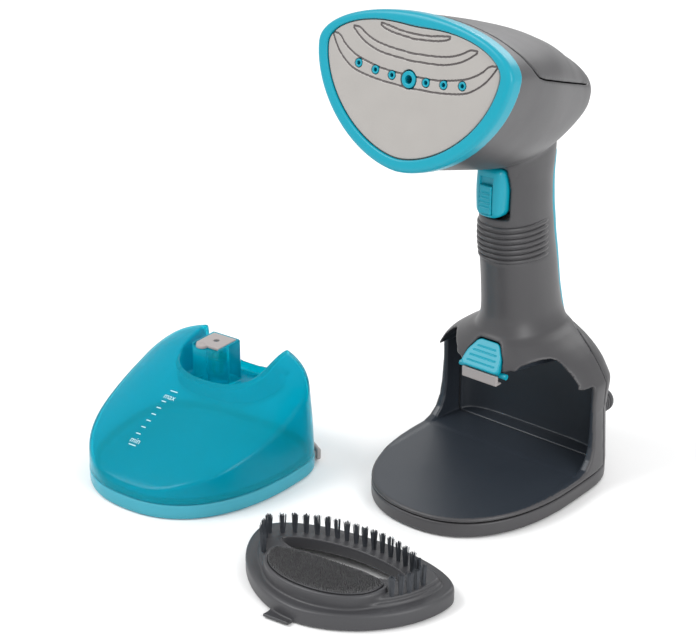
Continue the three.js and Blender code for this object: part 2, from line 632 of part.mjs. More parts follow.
function makeTank() {
  const port = solid(box(PORT_X - 8.6, PORT_X + 8.6, PORT_Y - 8.6, PORT_Y + 8.6, NOTCH_FLOOR - 1, PORT_TOP));
  const bore = solid(rod(5.2, 60).translate(PORT_X, PORT_Y, NOTCH_FLOOR + 1));
  const drain = solid(rod(1.5, 30, 12).translate(PORT_X, PORT_Y, NOTCH_FLOOR - 14));
  const seatFloor = PORT_TOP - 2.2;
  const seat = solid(box(PORT_X - 7.3, PORT_X + 7.3, PORT_Y - 9, PORT_Y + 7.3, seatFloor, PORT_TOP + 5));
  const shell = tankForm(0).subtract(tankForm(1.8)).add(port).subtract(bore).subtract(drain).subtract(seat);
  add('tank_shell', shell, 'tank', tank);
  const cover = solid(box(PORT_X - 7, PORT_X + 7, PORT_Y - 7, PORT_Y + 7, PORT_TOP - 1.9, PORT_TOP - 0.4))
    .add(solid(rod(3.4, 1.5, 16).translate(PORT_X - 3, PORT_Y - 8, PORT_TOP - 1.9)))
    .subtract(solid(rod(1.8, 9, 12).translate(PORT_X, PORT_Y, PORT_TOP - 5)));
  add('tank_port_cover', cover, 'grey', tank);
  const pin = [[0, 0], [1.3, 0], [1.3, 9.6], [4.6, 9.6], [4.6, 10.8], [1.4, 10.8], [1.4, 16.4], [0, 16.4]];
  add('tank_valve_pin', turned(pin, 16), 'brass', tank).position.set(PORT_X, PORT_Y, NOTCH_FLOOR + 5.2);
  add('tank_valve_spring', coil(3.2, 0.4, 5, 12), 'metal', tank)
    .position.set(PORT_X, PORT_Y, NOTCH_FLOOR + 1.8);
  const trayBody = solid(loft([tankRing(0, 1.6), tankRing(1.2, 0.4), tankRing(TANK_BAND, 0)]))
    .subtract(solid(loft([tankRing(WALL, WALL), tankRing(TANK_BAND + 1, WALL)])));
  const plugPlace = new THREE.Matrix4().makeRotationZ(PLUG_TURN).setPosition(PLUG_X, PLUG_Y, 4.6);
  const plugHole = solid(box(-4.4, 4.4, -5, 3, -2.5, 2.5).applyMatrix4(plugPlace));
  add('tank_tray', trayBody.subtract(plugHole), 'tank', tank);
  const plugBody = solid(box(-4, 4, -3.4, 1, -2.1, 2.1)).add(solid(box(-5.6, 5.6, 0.7, 3.6, -3.5, 3.5)));
  add('tank_filler_plug', plugBody, 'grey', tank).applyMatrix4(plugPlace);
  const seal = solid(loft([tankRing(6.4, 2.8), tankRing(11.2, 2.8)]))
    .subtract(plugHole)
    .subtract(solid(loft([tankRing(6, 4.6), tankRing(12, 4.6)])));
  add('tank_seal', seal, 'rubber', tank);
}

// ---------------------------------------------------------------- brush attachment
const brush = new THREE.Group();
brush.position.copy(BRUSH_PLACE);
brush.rotation.z = BRUSH_TURN;
root.add(brush);

function brushForm(steps, points = 40) {
  return solid(loft(steps.map(([z, inset]) => (
    egg(FACE_HALF_WIDTH - inset, FACE_UP - inset, FACE_DOWN - inset, 1.95, 1.78, points)
      .map((p) => new THREE.Vector3(p.x, p.y, z))
  ))));
}

function padForm(grow, z0, z1) {
  return solid(loft([z0, z1].map((z) => (
    egg(PAD_HALF_WIDTH + grow, 5.2 + grow, 21 + grow, 2.3, 2.1, 32)
      .map((p) => new THREE.Vector3(p.x, PAD_MID_Y + p.y, z))
  ))));
}

function bristleRow(places) {
  const line = places.map(([x, y]) => [x, y, BRUSH_DECK + 1.0]);
  let row = solid(tube(line, 0.7, places.length, 4));
  places.forEach(([x, y]) => {
    row = row.add(solid(rod(1.7, BRISTLE_HEIGHT, 5).translate(x, y, BRUSH_DECK + GAP)));
  });
  return row;
}

function makeBrush() {
  const slot = solid(loft([-2, 30].map((z) => (
    egg(37, 10.2, 9.0, 1.7, 1.7, 32).map((p) => new THREE.Vector3(p.x, -9 + p.y, z))
  ))));
  const tab = solid(box(BRUSH_TAB_X - 7.4, BRUSH_TAB_X + 7.4, -58, -46, 0, 2.2));
  const body = brushForm([[0, 0.9], [BRUSH_RIM - 1, 0], [BRUSH_RIM, 0.7]])
    .add(brushForm([[BRUSH_RIM - 1, 8.6], [BRUSH_DECK - 0.6, 9.2], [BRUSH_DECK, 9.8]]))
    .add(padForm(2.4, BRUSH_RIM - 1, PAD_DECK))
    .subtract(slot)
    .subtract(brushForm([[-1, 3], [BRUSH_RIM - 2.4, 3]]))
    .add(tab);
  add('brush_body', body, 'dark', brush);
  add('lint_pad', padForm(0, PAD_DECK + GAP, PAD_DECK + 2), 'grey', brush);
  const arcCount = 18;
  const arc = Array.from({ length: arcCount }, (_, i) => {
    const x = -BRISTLE_REACH + (i / (arcCount - 1)) * 2 * BRISTLE_REACH;
    return [x, 7.6 - 15.5 * Math.abs(x / BRISTLE_REACH) ** 2.5];
  });
  add('bristle_row_top', bristleRow(arc), 'dark', brush);
  const side = [[44.9, -12.9], [43.4, -17.2], [41, -21], [38, -24.6]];
  [1, -1].forEach((sign) => {
    const name = sign > 0 ? 'bristle_row_right' : 'bristle_row_left';
    add(name, bristleRow(side.map(([x, y]) => [sign * x, y])), 'dark', brush);
  });
}

makeShells();
makeSteamFace();
makeHeater();
makeWaterPath();
makeTrigger();
makeLatch();
makeFixings();
makeTank();
makeBrush();

export default root;
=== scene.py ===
"""Looks of the handheld steamer, its tank and its brush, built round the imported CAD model."""

import json
import math

import bpy
import numpy as np
from mathutils import Euler, Matrix, Vector


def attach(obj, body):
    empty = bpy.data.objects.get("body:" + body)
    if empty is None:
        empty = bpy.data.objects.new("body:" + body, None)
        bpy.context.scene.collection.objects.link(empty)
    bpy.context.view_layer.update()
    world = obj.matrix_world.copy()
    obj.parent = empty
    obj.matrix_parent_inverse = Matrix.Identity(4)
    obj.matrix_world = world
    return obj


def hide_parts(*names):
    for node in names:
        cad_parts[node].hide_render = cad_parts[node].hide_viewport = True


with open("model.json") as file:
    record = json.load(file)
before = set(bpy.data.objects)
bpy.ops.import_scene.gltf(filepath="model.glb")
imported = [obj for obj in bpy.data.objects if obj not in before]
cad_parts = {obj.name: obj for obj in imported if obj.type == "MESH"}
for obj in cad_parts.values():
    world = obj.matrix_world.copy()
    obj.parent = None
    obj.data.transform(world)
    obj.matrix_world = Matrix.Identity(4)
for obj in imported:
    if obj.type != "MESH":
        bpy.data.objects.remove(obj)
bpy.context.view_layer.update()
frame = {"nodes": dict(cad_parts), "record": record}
MM = 0.001
DETAIL = 1.0     # coarser meshes while trying things

# ------------------------------------------------------------------ distances, in millimetres
WALL = 2.2
SLIVER = 0.03      # share of a mesh's points under which a loose part is dropped
PITCH = math.radians(12)
HEAD = np.array([0, -67.6, 241.5])
TRIGGER_PIN = (12.8, 183)      # y, z
LATCH_PIN = (5.3, 69.2)        # y, z
GLAND = (33, 34)               # x, z


def pchip(t, places, values):
    """Smooth curve through (places, values) that never overshoots."""
    places, values = np.asarray(places, float), np.asarray(values, float)
    step = np.diff(places)
    slope = np.diff(values) / step
    tangent = np.zeros_like(values)
    tangent[0], tangent[-1] = slope[0], slope[-1]
    same = slope[:-1] * slope[1:] > 0
    tangent[1:-1][same] = 2 * (slope[:-1] * slope[1:])[same] / (slope[:-1] + slope[1:])[same]
    t = np.clip(t, places[0], places[-1])
    i = np.clip(np.searchsorted(places, t, side="right") - 1, 0, len(places) - 2)
    s = (t - places[i]) / step[i]
    return ((1 + 2 * s) * (1 - s) ** 2 * values[i] + s * (1 - s) ** 2 * step[i] * tangent[i]
            + s * s * (3 - 2 * s) * values[i + 1] + s * s * (s - 1) * step[i] * tangent[i + 1])


def egg(u, w, a, up, down, up_power, down_power):
    """Distance along the ray from the middle to an egg-shaped outline."""
    above = w > 0
    reach = np.where(above, up, down)
    power = np.where(above, up_power, down_power)
    g = (np.abs(u / a) ** power + np.abs(w / reach) ** power) ** (1 / power)
    return np.sqrt(u * u + w * w) * (1 - 1 / np.maximum(g, 1e-3))


def unit(field, h):
    """The same surface, with distances that are true near it."""
    gx, gy, gz = np.gradient(field, h)
    return field / np.clip(np.sqrt(gx * gx + gy * gy + gz * gz), 0.6, 4)


def join(a, b, k=0.0):
    if k <= 0:
        return np.minimum(a, b)
    t = np.clip(0.5 + 0.5 * (b - a) / k, 0, 1)
    return b * (1 - t) + a * t - k * t * (1 - t)


def both(a, b, k=0.0):
    return -join(-a, -b, k)


def cut(a, b, k=0.0):
    return both(a, -b, k)


def polygon(u, w, points):
    """Signed distance to a closed outline, negative inside."""
    points = np.asarray(points, float)
    best = np.full(np.broadcast(u, w).shape, 1e9)
    sign = np.ones_like(best)
    for i in range(len(points)):
        (x0, y0), (x1, y1) = points[i], points[i - 1]
        ex, ey = x1 - x0, y1 - y0
        px, py = u - x0, w - y0
        t = np.clip((px * ex + py * ey) / (ex * ex + ey * ey), 0, 1)
        best = np.minimum(best, (px - ex * t) ** 2 + (py - ey * t) ** 2)
        a, b, c = w >= y0, w < y1, ex * py > ey * px
        flip = (a & b & c) | (~a & ~b & ~c)
        sign = np.where(flip, -sign, sign)
    return sign * np.sqrt(best)


def away(u, w, centre):
    """Distance from the axis that runs through centre."""
    return np.sqrt((u - centre[0]) ** 2 + (w - centre[1]) ** 2)


def block(x, y, z, x0, x1, y0, y1, z0, z1, round_by=0.0):
    qx = np.abs(x - (x0 + x1) / 2) - (x1 - x0) / 2 + round_by
    qy = np.abs(y - (y0 + y1) / 2) - (y1 - y0) / 2 + round_by
    qz = np.abs(z - (z0 + z1) / 2) - (z1 - z0) / 2 + round_by
    outside = np.sqrt(np.maximum(qx, 0) ** 2 + np.maximum(qy, 0) ** 2 + np.maximum(qz, 0) ** 2)
    return outside + np.minimum(np.maximum(np.maximum(qx, qy), qz), 0) - round_by


def bar(r, t, radius, t0, t1, k=0.4):
    """Rod with a soft edge: r from its axis, t along it."""
    return both(r - radius, np.abs(t - (t0 + t1) / 2) - (t1 - t0) / 2, k)


# ------------------------------------------------------------------ from distances to meshes
def surface(field, low, h):
    """Closed quad mesh of field = 0, by surface nets."""
    inside = field < 0
    n = np.array(field.shape)
    corners = [(i, j, k) for i in (0, 1) for j in (0, 1) for k in (0, 1)]
    part = lambda a, c: a[c[0]:n[0] - 1 + c[0], c[1]:n[1] - 1 + c[1], c[2]:n[2] - 1 + c[2]]
    count = sum(part(inside, c).astype(np.int8) for c in corners)
    cells = np.argwhere((count > 0) & (count < 8))
    number = np.full(n - 1, -1, np.int64)
    number[tuple(cells.T)] = np.arange(len(cells))
    values = np.stack([field[tuple((cells + c).T)] for c in corners], 1)
    total = np.zeros((len(cells), 3))
    hits = np.zeros(len(cells))
    for a, ca in enumerate(corners):
        for b, cb in enumerate(corners):
            if b <= a or sum(abs(p - q) for p, q in zip(ca, cb)) != 1:
                continue
            va, vb = values[:, a], values[:, b]
            crossed = (va < 0) != (vb < 0)
            t = np.where(crossed, va / np.where(crossed, va - vb, 1), 0)
            point = np.array(ca) + t[:, None] * (np.array(cb) - np.array(ca))
            total += np.where(crossed[:, None], point, 0)
            hits += crossed
    points = np.array(low) + h * (cells + total / hits[:, None])
    faces = []
    for axis in range(3):
        other = [a for a in range(3) if a != axis]
        ahead = [slice(1, n[a] - 1) for a in range(3)]
        ahead[axis] = slice(0, n[axis] - 1)
        beyond = list(ahead)
        beyond[axis] = slice(1, n[axis])
        here, there = inside[tuple(ahead)], inside[tuple(beyond)]
        for starts_inside in (True, False):
            edges = np.argwhere((here != there) & (here == starts_inside))
            if len(edges) == 0:
                continue
            base = edges.copy()
            for a in other:
                base[:, a] += 1
            ring = []
            for du, dv in ((0, 0), (1, 0), (1, 1), (0, 1)):
                cell = base.copy()
                cell[:, other[0]] -= du
                cell[:, other[1]] -= dv
                ring.append(number[tuple(cell.T)])
            quad = np.stack(ring, 1)
            flip = starts_inside if axis != 1 else not starts_inside
            faces.append(quad if flip else quad[:, ::-1])
    return points, np.concatenate(faces)


def main_parts(points, faces):
    """Drops loose slivers: the connected parts with fewer than SLIVER of the points."""
    label = np.arange(len(points))
    while True:
        low = label[faces].min(axis=1)
        new = label.copy()
        for k in range(faces.shape[1]):
            np.minimum.at(new, faces[:, k], low)
        new = new[new]
        if np.array_equal(new, label):
            break
        label = new
    names, counts = np.unique(label, return_counts=True)
    keep = np.isin(label, names[counts > SLIVER * len(points)])
    number = np.cumsum(keep) - 1
    return points[keep], number[faces[keep[faces[:, 0]]]]


def to_object(name, points, faces, smooth=True):
    mesh = bpy.data.meshes.new(name)
    size = faces.shape[1]
    mesh.vertices.add(len(points))
    mesh.vertices.foreach_set("co", (np.asarray(points, float) * MM).astype(np.float32).ravel())
    mesh.loops.add(faces.size)
    mesh.loops.foreach_set("vertex_index", faces.astype(np.int32).ravel())
    mesh.polygons.add(len(faces))
    mesh.polygons.foreach_set("loop_start", np.arange(0, faces.size, size, dtype=np.int32))
    mesh.update(calc_edges=True)
    mesh.polygons.foreach_set("use_smooth", np.full(len(faces), smooth))
    mesh.validate()
    piece = bpy.data.objects.new(name, mesh)
    bpy.context.scene.collection.objects.link(piece)
    return piece


def place(piece, body, material, slot, *nodes, matrix=None):
    if matrix is not None:
        piece.data.transform(matrix)
    piece.data.materials.append(material)
    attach(piece, body)
    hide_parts(*nodes)
    return piece


def grid(low, high, h):
    low, high = np.array(low, float), np.array(high, float)
    count = np.ceil((high - low) / h).astype(int) + 1
    x, y, z = [low[i] + h * np.arange(count[i]) for i in range(3)]
    return x[:, None, None], y[None, :, None], z[None, None, :]


def paint(piece, look, chosen):
    """Gives the faces whose centres are chosen another material."""
    piece.data.materials.append(look)
    index = np.where(chosen, len(piece.data.materials) - 1, 0).astype(np.int32)
    piece.data.polygons.foreach_set("material_index", index)


def centres(points, faces):
    return points[faces].mean(axis=1).T


def carve(name, low, high, h, shape, body, material, slot, *nodes, matrix=None, second=None):
    """Meshes the body that shape(x, y, z) describes; second is (look, test) for some of its faces."""
    h *= DETAIL
    field = shape(*grid(low, high, h))
    for axis in range(3):
        for end in (0, -1):
            index = [slice(None)] * 3
            index[axis] = end
            field[tuple(index)] = np.maximum(field[tuple(index)], h)
    points, faces = surface(field, low, h)
    piece = place(to_object(name, points, faces), body, material, slot, *nodes, matrix=matrix)
    if second is not None:
        paint(piece, second[0], second[1](*centres(points, faces)))
    return piece


# ------------------------------------------------------------------ materials
def material(name, color, roughness=0.5, metallic=0.0, coat=0.0, coat_roughness=0.2, specular=0.5,
             grain=0.0, grain_size=0.4, mottle=0.0, mottle_size=25.0, rough_range=0.08):
    """Moulded or cast surface: fine grain in the bump, slow drift in colour and in roughness."""
    m = bpy.data.materials.new(name)
    m.use_nodes = True
    nodes, links = m.node_tree.nodes, m.node_tree.links
    shader = nodes["Principled BSDF"]
    for key, value in (("Metallic", metallic), ("Coat Weight", coat), ("Coat Roughness", coat_roughness),
                       ("Specular IOR Level", specular)):
        shader.inputs[key].default_value = value
    where = nodes.new("ShaderNodeTexCoord")
    slow = nodes.new("ShaderNodeTexNoise")
    slow.inputs["Scale"].default_value = 1000 / mottle_size
    slow.inputs["Detail"].default_value = 4
    links.new(where.outputs["Object"], slow.inputs["Vector"])
    tint = nodes.new("ShaderNodeMixRGB")
    tint.inputs[1].default_value = [c * (1 - mottle) for c in color] + [1]
    tint.inputs[2].default_value = [min(1, c * (1 + mottle)) for c in color] + [1]
    links.new(slow.outputs["Fac"], tint.inputs["Fac"])
    links.new(tint.outputs["Color"], shader.inputs["Base Color"])
    fine = nodes.new("ShaderNodeTexNoise")
    fine.inputs["Scale"].default_value = 1000 / grain_size
    fine.inputs["Detail"].default_value = 2
    links.new(where.outputs["Object"], fine.inputs["Vector"])
    spread = nodes.new("ShaderNodeMapRange")
    spread.inputs["To Min"].default_value = max(0.02, roughness - rough_range)
    spread.inputs["To Max"].default_value = roughness + rough_range
    links.new(slow.outputs["Fac"], spread.inputs["Value"])
    links.new(spread.outputs["Result"], shader.inputs["Roughness"])
    bump = nodes.new("ShaderNodeBump")
    bump.inputs["Strength"].default_value = grain
    bump.inputs["Distance"].default_value = 0.0001
    links.new(fine.outputs["Fac"], bump.inputs["Height"])
    links.new(bump.outputs["Normal"], shader.inputs["Normal"])
    return m


SHELL = material("shell_plastic", (0.044, 0.043, 0.046), 0.42, grain=0.25, grain_size=0.5, mottle=0.03)
# Darker, bluer copy of the shell plastic for the inside of the tank bay: painted shade, with a painted
# reflection of the tank's blue tint.
BAY_PAINTED_SHADE = material("bay_painted_shade", (0.021, 0.027, 0.036), 0.40, grain=0.2, grain_size=0.5, mottle=0.05)
TEAL = material("teal_plastic", (0.0, 0.265, 0.355), 0.34, grain=0.06, mottle=0.03, specular=0.35)
PLATE = material("plate_coating", (0.325, 0.31, 0.295), 0.36, grain=0.25, grain_size=0.35, mottle=0.04,
                 mottle_size=12)
# Dark colour for the faces inside the plate's engraved grooves: painted shade in the grooves.
GROOVE_PAINTED_SHADE = material("plate_groove_painted_shade", (0.10, 0.088, 0.088), 0.5, grain=0.25, mottle=0.05)
GREY = material("grey_plastic", (0.30, 0.275, 0.27), 0.48, grain=0.2, mottle=0.04)
DARK = material("brush_plastic", (0.042, 0.042, 0.046), 0.44, grain=0.3, grain_size=0.5, mottle=0.06)
RUBBER = material("rubber", (0.02, 0.02, 0.022), 0.7, grain=0.3, mottle=0.1)
STEEL = material("steel", (0.55, 0.55, 0.56), 0.25, metallic=1, grain=0.1, mottle=0.05)
CAST = material("cast_aluminium", (0.6, 0.6, 0.6), 0.5, metallic=1, grain=0.6, grain_size=0.8, mottle=0.08)
BRASS = material("brass", (0.62, 0.44, 0.18), 0.3, metallic=1, grain=0.1, mottle=0.08)
BOARD = material("board", (0.02, 0.14, 0.06), 0.45, grain=0.2, mottle=0.15)
WHITE = material("white_print", (0.42, 0.62, 0.66), 0.5, grain=0.05, mottle=0.02)
FIBRE = material("bristle_nylon", (0.050, 0.056, 0.066), 0.42, grain=0.1, mottle=0.35, mottle_size=2)
PILE = material("lint_pile", (0.125, 0.125, 0.128), 0.6, grain=0.2, mottle=0.7, mottle_size=1.6)


def clear_plastic(name, color, clear):
    """Tinted see-through plastic of the tank."""
    m = material(name, color, 0.2, grain=0.08, mottle=0.02, specular=0.35)
    shader = m.node_tree.nodes["Principled BSDF"]
    shader.inputs["Transmission Weight"].default_value = clear
    shader.inputs["IOR"].default_value = 1.2
    return m


TANK = clear_plastic("tank_plastic", (0.0, 0.50, 0.64), 0.7)
TRAY = clear_plastic("tray_plastic", (0.10, 0.50, 0.62), 0.4)

NODE_LOOKS = {
    "rubber": RUBBER, "cast_aluminium": CAST, "steel": STEEL, "brass": BRASS, "board": BOARD,
    "shell": SHELL, "teal": TEAL, "plate": PLATE, "tank_plastic": TANK, "grey_plastic": GREY,
    "dark_plastic": DARK, "bristle": FIBRE, "lint_fabric": PILE,
}
for entry in frame["record"]["subparts"]:
    node = frame["nodes"][entry["node"]]
    node.data.materials.clear()
    node.data.materials.append(NODE_LOOKS[entry["material_slot"]])

# ------------------------------------------------------------------ shells of the steamer
HANDLE = np.array([
    [48, 42, 49.5, 40, 25.5, 2.0, 3.4],
    [60, 42, 51.5, 41, 27, 2.0, 3.4], [68, 41.5, 47.8, 40, 27.2, 2.0, 3.4],
    [74, 41.2, 43.0, 38.5, 27.6, 2.0, 3.2], [79, 41, 36.8, 36.5, 27.6, 2.0, 3.0],
    [84, 40.6, 29, 33, 27.4, 2.1, 2.6], [89, 40.2, 22, 29, 27.2, 2.2, 2.3],
    [98, 39.4, 18.9, 26.2, 26.4, 2.2, 2.2], [109, 37.8, 18.2, 25.5, 25.2, 2.2, 2.2],
    [126, 35.0, 17.6, 25.0, 25.0, 2.2, 2.2],
    [144, 31.5, 17.0, 25.0, 25.0, 2.2, 2.2], [160, 30.3, 16.4, 23.8, 23.8, 2.2, 2.2],
    [174, 29.5, 16.6, 23.5, 23.5, 2.2, 2.2], [184, 29.5, 17.4, 26.5, 23.6, 2.2, 2.2],
    [194, 29.5, 18.6, 31.0, 22.4, 2.2, 2.2], [203, 29.5, 18.6, 31.0, 20.6, 2.2, 2.2],
])
HOUSING = np.array([
    [9.3, 56.9, 21.4, 53.0, 16.8, 1.95, 1.82], [22, 54.6, 21.6, 53.2, 16.4, 2.0, 1.9],
    [42, 50.4, 21.8, 52.6, 15.2, 2.1, 2.05], [65, 45.0, 22.4, 50.5, 12.6, 2.3, 2.2],
    [88, 38.4, 22.6, 44.0, 8.4, 2.2, 2.2], [108, 32.4, 20.4, 33.0, 4.6, 2.2, 2.2],
    [122, 28.0, 16.6, 23.6, 3.4, 2.3, 2.2], [128.5, 24.8, 13.6, 18.4, 2.8, 2.3, 2.2],
    [131.5, 20.0, 10.0, 13.6, 2.2, 2.3, 2.2],
])
ARCH = [[0, 71], [14.5, 71.6], [16, 72.9], [20.1, 75.2], [25.2, 77.5], [28.5, 78.5], [31.5, 78.5],
        [34.2, 77.2], [36.8, 75.4], [39.5, 73.0], [42.0, 70.6], [44.2, 67.8], [46.0, 65.1], [47.4, 61],
        [48, 54]]


def head_axes(y, z):
    """v up along the steam face and s back from it."""
    dy, dz = y - HEAD[1], z - HEAD[2]
    return dy * math.sin(PITCH) + dz * math.cos(PITCH), dy * math.cos(PITCH) - dz * math.sin(PITCH)


def along(table, t):
    return [pchip(t, table[:, 0], table[:, k]) for k in range(1, table.shape[1])]


def housing(x, y, z, h):
    v, s = head_axes(y, z)
    a, up, down, mid, up_power, down_power = along(HOUSING, s)
    field = unit(egg(x, v - mid, a, up, down, up_power, down_power), h)
    return both(both(field, s - 131.2, 5), 9.3 - s)


def handle(x, y, z, h):
    y0, a, front, back, front_power, back_power = along(HANDLE, z)
    field = unit(egg(x, y - y0, a, back, front, back_power, front_power), h)
    grip = 1 / (1 + np.exp((y - 36) / 1.6))
    band = 1 / (1 + np.exp(-(z - 131) * 3)) / (1 + np.exp((z - 153) * 3))
    return both(field + grip * band * 0.5, np.abs(z - 125.5) - 77.5)


def column(x, y, z):
    lean = 3.4 * np.clip((z - 12.3) / 47.7, 0, 1)
    outline = egg(x, y - 19, 55 - lean, 50, 80.4 - lean, 4, 2.33)
    return both(both(outline, z - 60, 3), 0.8 - z, 1.2)


def bay(x, y, z):
    """Space for the tank."""
    inner = both(egg(x, y - 10, 49.4, 50.5, 120, 6, 6), both(12.3 - z, z - 61, 2), 0.8)
    side = [[-95, 12.3], [24, 12.3], [30, 14.2], [34.5, 18.5], [37.2, 25], [38, 33], [38, 62], [-95, 62]]
    opening = np.maximum(polygon(y, z, side), np.abs(x) - 75)
    outline = ARCH + [[-px, pz] for px, pz in ARCH[:0:-1]]
    arch = both(polygon(x, z, outline), y - 54, 3)
    nose = both(np.abs(x) - 19.5 - 0.35 * np.maximum(z - 72, 0), 73 - 0.2 * np.maximum(y - 6, 0) - z, 2)
    arch = cut(arch, both(nose, 3 - y), 1)
    space = join(join(inner, opening, 1.5), arch, 1.5)
    port = block(x, y, z, -19.5, 2.5, 21, 43, 50, 79, 1.5)
    return join(space, port)


TOP_CUT = [[18, 90], [18, 34], [19.5, 29.5], [24, 24], [29, 20], [34, 17.5], [42, 16], [116, 9],
           [120, 9.6], [123, 12], [125, 20], [125, 90]]
REAR_CUT = [[-95, -5], [-95, 9.3], [50, 9.3], [50, 70], [50.6, 75], [53, 79.5], [58, 84], [95, 84],
            [95, -5]]


def latch_axes(y, z):
    """Reach up the latch's slope, and height off it."""
    dy, dz = y - 1.4, z - 70.6
    return dy * 0.617 + dz * 0.787, -dy * 0.787 + dz * 0.617


def sample(field, low, h, where):
    """Field values at scattered points, blended between grid corners."""
    place_at = (where - np.array(low)[:, None]) / h
    base = np.clip(np.floor(place_at).astype(int), 0, np.array(field.shape)[:, None] - 2)
    part = place_at - base
    total = 0
    for corner in range(8):
        step = np.array([corner & 1, corner >> 1 & 1, corner >> 2 & 1])[:, None]
        weight = np.prod(np.where(step == 1, part, 1 - part), axis=0)
        total = total + weight * field[tuple(base + step)]
    return total


def steamer_shells():
    h = 0.8 * DETAIL
    low, high = np.array([-61.0, -70.0, -1.0]), np.array([61.0, 76.0, 282.0])
    x, y, z = grid(low, high, h)
    outer = join(join(handle(x, y, z, h), column(x, y, z), 4), housing(x, y, z, h), 3)
    space = bay(x, y, z) + 0 * outer
    body = cut(outer, space, 1.6)
    shell = both(body, -(body + WALL))
    reach, off = latch_axes(y, z)
    half = pchip(reach, [-7, 1, 8, 13.6, 17.4], [13.4, 12.9, 11.9, 9.1, 7.3])
    window = both(both(np.abs(x) - half, np.abs(reach - 6.7) - 10.7, 2.6), np.abs(off - 3) - 8)
    trigger = block(x, y, z, -9.4, 9.4, -8, 17, 157, 187.6, 1.5)
    peg = bar(away(y, z, LATCH_PIN), x, 2.3, -16.5, 16.5)
    probe = bar(np.sqrt((x + 8.5) ** 2 + (y - 32) ** 2), z, 3.4, 70, 90)
    pin = bar(away(y, z, TRIGGER_PIN), x, 1.8, -12.5, 12.5)
    strip = both(block(x, y, z, -12.4, 12.4, 40, 90, 84, 188, 1.5), 44 - y)
    gland = bar(away(x, z, GLAND), y, 7.3, 62.8, 80)
    for hole in (window, trigger, peg, probe, pin, gland):
        shell = cut(shell, hole, 0.6)
    v, s = head_axes(y, z)
    top = polygon(s, v, TOP_CUT) + 0 * x
    rear = polygon(y, z, REAR_CUT) + 0 * x
    seam = 0.22
    bare = cut(shell, strip, 0.6)
    pieces = {
        "top_cover": (both(bare, top + seam, 0.9), SHELL),
        "rear_shell": (both(bare, rear + seam, 0.9), SHELL),
        "main_shell": (both(both(bare, seam - top, 0.9), seam - rear, 0.9), SHELL),
        "handle_strip": (both(both(handle(x, y, z, h) - 1.4, strip + 0.4, 1.6), -(body + 0.8)), TEAL),
    }
    for name, (field, look) in pieces.items():
        points, faces = main_parts(*surface(field, low, h))
        slot = "teal" if name == "handle_strip" else "shell"
        piece = place(to_object("steamer_" + name, points, faces), "steamer", look, slot, name)
        if name in ("main_shell", "rear_shell"):
            # Faces lining the tank bay get a darker, bluer copy of the shell plastic: painted shade, with a
            # painted reflection of the tank's blue tint.
            where = centres(points, faces)
            painted_shade_faces = np.abs(sample(space, low, h, where)) < 0.7
            paint(piece, BAY_PAINTED_SHADE, painted_shade_faces & (sample(outer, low, h, where) < -1.4) & (where[1] < 66))


steamer_shells()


def finger_ribs(x, y, z):
    """Ridges round the grip that sink into it towards its back."""
    y0, a, front, back, front_power, back_power = along(HANDLE, z)
    skin = unit(egg(x, y - y0, a, back, front, back_power, front_power), RIB_VOXEL)
    fade = 1 / (1 + np.exp(-(y - 38) / 1.3))
    body = None
    for i in range(7):
        middle = 132.7 + 3.15 * i
        ridge = np.sqrt((skin + 0.45 + 1.6 * fade) ** 2 + (0.95 * (z - middle)) ** 2) - 1.15
        body = ridge if body is None else join(body, ridge)
    return both(body, -2.2 - skin)


RIB_VOXEL = 0.35
carve("grip_ribs", (-20, 4, 130), (20, 45, 154), RIB_VOXEL, finger_ribs, "steamer", SHELL, "shell")

# ------------------------------------------------------------------ steam face
FACE_MATRIX = Matrix.Translation(Vector(HEAD * MM)) @ Matrix.Rotation(-PITCH, 4, "X")
NOZZLES = [(px, 7.5 + 0.0026 * px * px) for px in (0, 10.3, -10.3, 20.6, -20.6, 31.3, -31.3)]


def face_outline(x, v, inset):
    return egg(x, v - 16.8, 58.5 - inset, 22.6 - inset, 54.3 - inset, 1.95, 1.78)


def ring_shape(x, y, z):
    outline = face_outline(x, z, 0)
    body = both(both(outline, -y, 3.2), y - 9)
    body = cut(body, both(outline + 6.4, y - 2.6), 0.8)
    return cut(body, both(outline + 2.2, 2.5 - y), 0.3)


def band(x, v, half, upper, lower):
    """Distance to a bow-shaped outline, from tables of its two edges over |x|."""
    across = np.linspace(-half, half, 41)
    top = pchip(np.abs(across), *upper)
    bottom = pchip(np.abs(across), *lower)
    outline = list(zip(across, top)) + list(zip(across, bottom))[::-1]
    return polygon(x, v, outline)


BANDS = [
    (20.6, ([0, 8, 15, 20.6], [29.2, 29.5, 30.6, 31.3]), ([0, 12, 18, 20.6], [26.8, 27.8, 29.0, 30.2])),
    (37, ([0, 12, 21, 28, 34, 37], [20.0, 20.7, 21.9, 24.2, 27.2, 27.3]),
     ([0, 17, 26, 32, 37], [16.4, 17.4, 19.6, 22.5, 26.3])),
    (49.2, ([0, 15, 27, 34, 41, 46, 49.2], [9.3, 9.9, 11.9, 13.9, 17.8, 22.1, 22.2]),
     ([0, 16, 28, 34, 40, 45, 49.2], [3.6, 4.2, 5.6, 7.0, 10.4, 14.9, 21.2])),
]


def engraving(x, y, z):
    """Distance to the nearest engraved line, from the front of the plate only."""
    return np.minimum.reduce([np.abs(band(x, z, *shape)) for shape in BANDS]) + 0 * y


def plate_shape(x, y, z):
    outline = face_outline(x, z, 0)
    front = both(both(outline + 6.9, 0.9 - y, 0.7), y - 2.8)
    back = both(outline + 2.8, np.abs(y - 3.55) - 0.85)
    body = join(front, back)
    body = cut(body, both(engraving(x, 0, z) - 0.36, y - 1.5), 0.25)
    for px, pv in NOZZLES:
        wide = 2 if px == 0 else 1
        body = cut(body, both(away(x, z, (px, pv)) - 2.4 * wide, -y - 10), 0.3)
    return body


